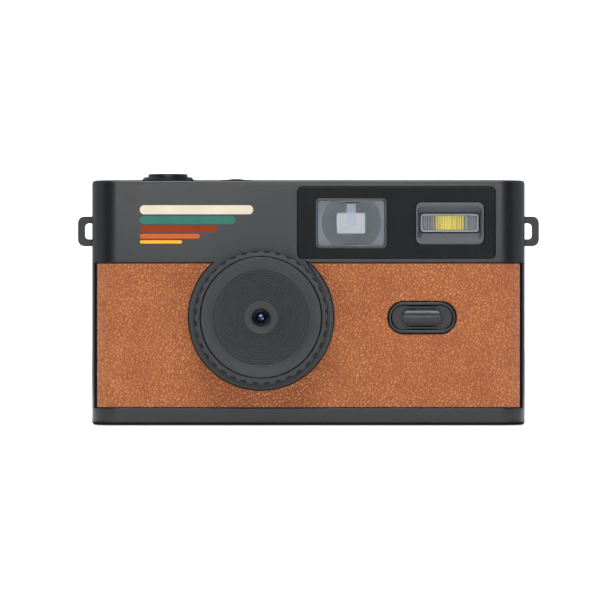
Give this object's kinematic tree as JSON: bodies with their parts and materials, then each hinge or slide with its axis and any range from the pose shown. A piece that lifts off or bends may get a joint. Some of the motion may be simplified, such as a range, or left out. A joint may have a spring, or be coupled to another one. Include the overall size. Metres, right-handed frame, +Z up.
{
  "type": "half frame camera",
  "caption": "Compact 35 mm half frame film camera with charcoal case, brown leather front, built-in flash, viewfinder and a knurled ring round a fixed lens.",
  "frame": {"origin": "middle of the underside, at the centre of the bounding box in plan", "axes": "+X to the right as the lens is faced, +Y from the lens to the back door, +Z up"},
  "size_m": [0.1174, 0.039, 0.0638],
  "materials": {
    "body_plastic": "satin charcoal, fine mould grain",
    "lens_plastic": "satin charcoal",
    "trim_plastic": "smooth black",
    "inner_plastic": "matt black",
    "panel_gloss": "polished dark",
    "brown_leather": "pebbled grain",
    "clear_plastic": "polished",
    "steel": "plain",
    "reflector_metal": "polished",
    "brass_contact": "plain",
    "dial_plastic": "plain",
    "cell_jacket": "printed sleeve, no text",
    "capacitor_sleeve": "plain",
    "circuit_board": "solder resist",
    "transformer_wrap": "tape",
    "foam_seal": "felt"
  },
  "bodies": {
    "case": {"front_cover": "body_plastic", "rear_cover": "body_plastic", "door_hinge_pin": "steel", "leather_front": "brown_leather", "window_panel": "panel_gloss", "strap_lug_left": "trim_plastic", "strap_lug_right": "trim_plastic", "case_screw_1": "steel", "case_screw_2": "steel", "case_screw_3": "steel", "case_screw_4": "steel", "chassis": "inner_plastic", "light_tunnel": "inner_plastic", "lens_face": "lens_plastic", "lens_barrel": "inner_plastic", "front_lens": "clear_plastic", "rear_lens": "clear_plastic", "aperture_plate": "inner_plastic", "shutter_plate": "steel", "blade_spring": "steel", "button_spring": "steel", "lever_pin": "steel", "shutter_collar": "trim_plastic", "counter_window": "clear_plastic", "viewfinder_objective": "clear_plastic", "viewfinder_tunnel": "inner_plastic", "viewfinder_eyepiece": "clear_plastic", "eyepiece_bezel": "trim_plastic", "flash_bezel": "trim_plastic", "flash_lens": "clear_plastic", "flash_reflector": "reflector_metal", "xenon_tube": "clear_plastic", "flash_capacitor": "capacitor_sleeve", "flash_board": "circuit_board", "flash_transformer": "transformer_wrap", "switch_bezel": "trim_plastic", "battery": "cell_jacket", "battery_contact_top": "brass_contact"},
    "button": {"shutter_button": "body_plastic"},
    "lever": {"release_lever": "steel"},
    "blade": {"shutter_blade": "inner_plastic"},
    "ring": {"lens_ring": "lens_plastic"},
    "switch": {"flash_switch": "body_plastic"},
    "advance": {"advance_wheel": "body_plastic", "take_up_spool": "inner_plastic"},
    "sprocket_shaft": {"sprocket": "inner_plastic"},
    "dial": {"counter_dial": "dial_plastic"},
    "rewind": {"rewind_fork": "inner_plastic", "rewind_disc": "trim_plastic"},
    "crank": {"crank_arm": "steel"},
    "knob": {"crank_knob": "trim_plastic"},
    "release": {"rewind_release_button": "steel"},
    "door": {"back_door": "body_plastic", "leather_rear": "brown_leather", "door_seal_top": "foam_seal", "door_seal_bottom": "foam_seal", "pressure_spring": "steel"},
    "film_plate": {"pressure_plate": "steel"},
    "latch": {"door_latch": "body_plastic"},
    "battery_hatch": {"battery_door": "body_plastic"}
  },
  "joints": [
    {"name": "shutter_press", "type": "slide", "parent": "case", "child": "button", "axis": [0, 0, -1], "range_m": [0, 0.001], "stiffness_N_per_m": 300, "springref_m": -0.001, "deforming": ["button_spring"]},
    {"name": "lever_rock", "type": "hinge", "parent": "case", "child": "lever", "pos_m": [-0.027, -0.0025, 0.055], "axis": [0, -1, 0], "range_deg": [0, 8]},
    {"name": "blade_swing", "type": "hinge", "parent": "case", "child": "blade", "pos_m": [-0.02, -0.0096, 0.0335], "axis": [0, -1, 0], "range_deg": [0, 26], "stiffness_Nm_per_rad": 0.0002, "springref_deg": -17.19},
    {"name": "lens_ring_turn", "type": "hinge", "parent": "case", "child": "ring", "pos_m": [-0.012, -0.016, 0.0273], "axis": [0, -1, 0], "range_deg": [0, 40]},
    {"name": "flash_switch_slide", "type": "slide", "parent": "case", "child": "switch", "axis": [1, 0, 0], "range_m": [-0.0019, 0.0019]},
    {"name": "advance_turn", "type": "hinge", "parent": "case", "child": "advance", "pos_m": [-0.036, 0.0065, 0.051], "axis": [0, 0, 1], "continuous": true},
    {"name": "sprocket_turn", "type": "hinge", "parent": "case", "child": "sprocket_shaft", "pos_m": [-0.02, 0.0082, 0.0424], "axis": [0, 0, 1], "continuous": true},
    {"name": "counter_turn", "type": "hinge", "parent": "case", "child": "dial", "pos_m": [-0.0185, 0.0032, 0.0582], "axis": [0, 0, 1], "continuous": true},
    {"name": "rewind_turn", "type": "hinge", "parent": "case", "child": "rewind", "pos_m": [0.039, 0.004, 0.0024], "axis": [0, 0, 1], "continuous": true},
    {"name": "crank_fold", "type": "hinge", "parent": "rewind", "child": "crank", "pos_m": [0.0328, 0.004, 0.001], "axis": [0, 1, 0], "range_deg": [0, 140]},
    {"name": "crank_knob_turn", "type": "hinge", "parent": "crank", "child": "knob", "pos_m": [0.0452, 0.004, 0.0023], "axis": [0, 0, 1], "continuous": true},
    {"name": "rewind_release_press", "type": "slide", "parent": "case", "child": "release", "axis": [0, 0, 1], "range_m": [0, 0.001], "stiffness_N_per_m": 200, "springref_m": -0.001},
    {"name": "door_swing", "type": "hinge", "parent": "case", "child": "door", "pos_m": [-0.0496, 0.0179, 0.025], "axis": [0, 0, 1], "range_deg": [0, 100]},
    {"name": "pressure_plate_travel", "type": "slide", "parent": "door", "child": "film_plate", "axis": [0, 1, 0], "range_m": [0, 0.0002], "stiffness_N_per_m": 200, "springref_m": -0.001},
    {"name": "latch_slide", "type": "slide", "parent": "door", "child": "latch", "axis": [0, 0, 1], "range_m": [0, 0.0035]},
    {"name": "battery_door_swing", "type": "hinge", "parent": "case", "child": "battery_hatch", "pos_m": [-0.04315, -0.006, 0.001], "axis": [0, -1, 0], "range_deg": [0, 100]}
  ],
  "couplings": [
    {"joint": "lever_rock", "follows": "shutter_press", "rad_per_m": 114},
    {"joint": "counter_turn", "follows": "sprocket_turn", "ratio": -0.025}
  ]
}
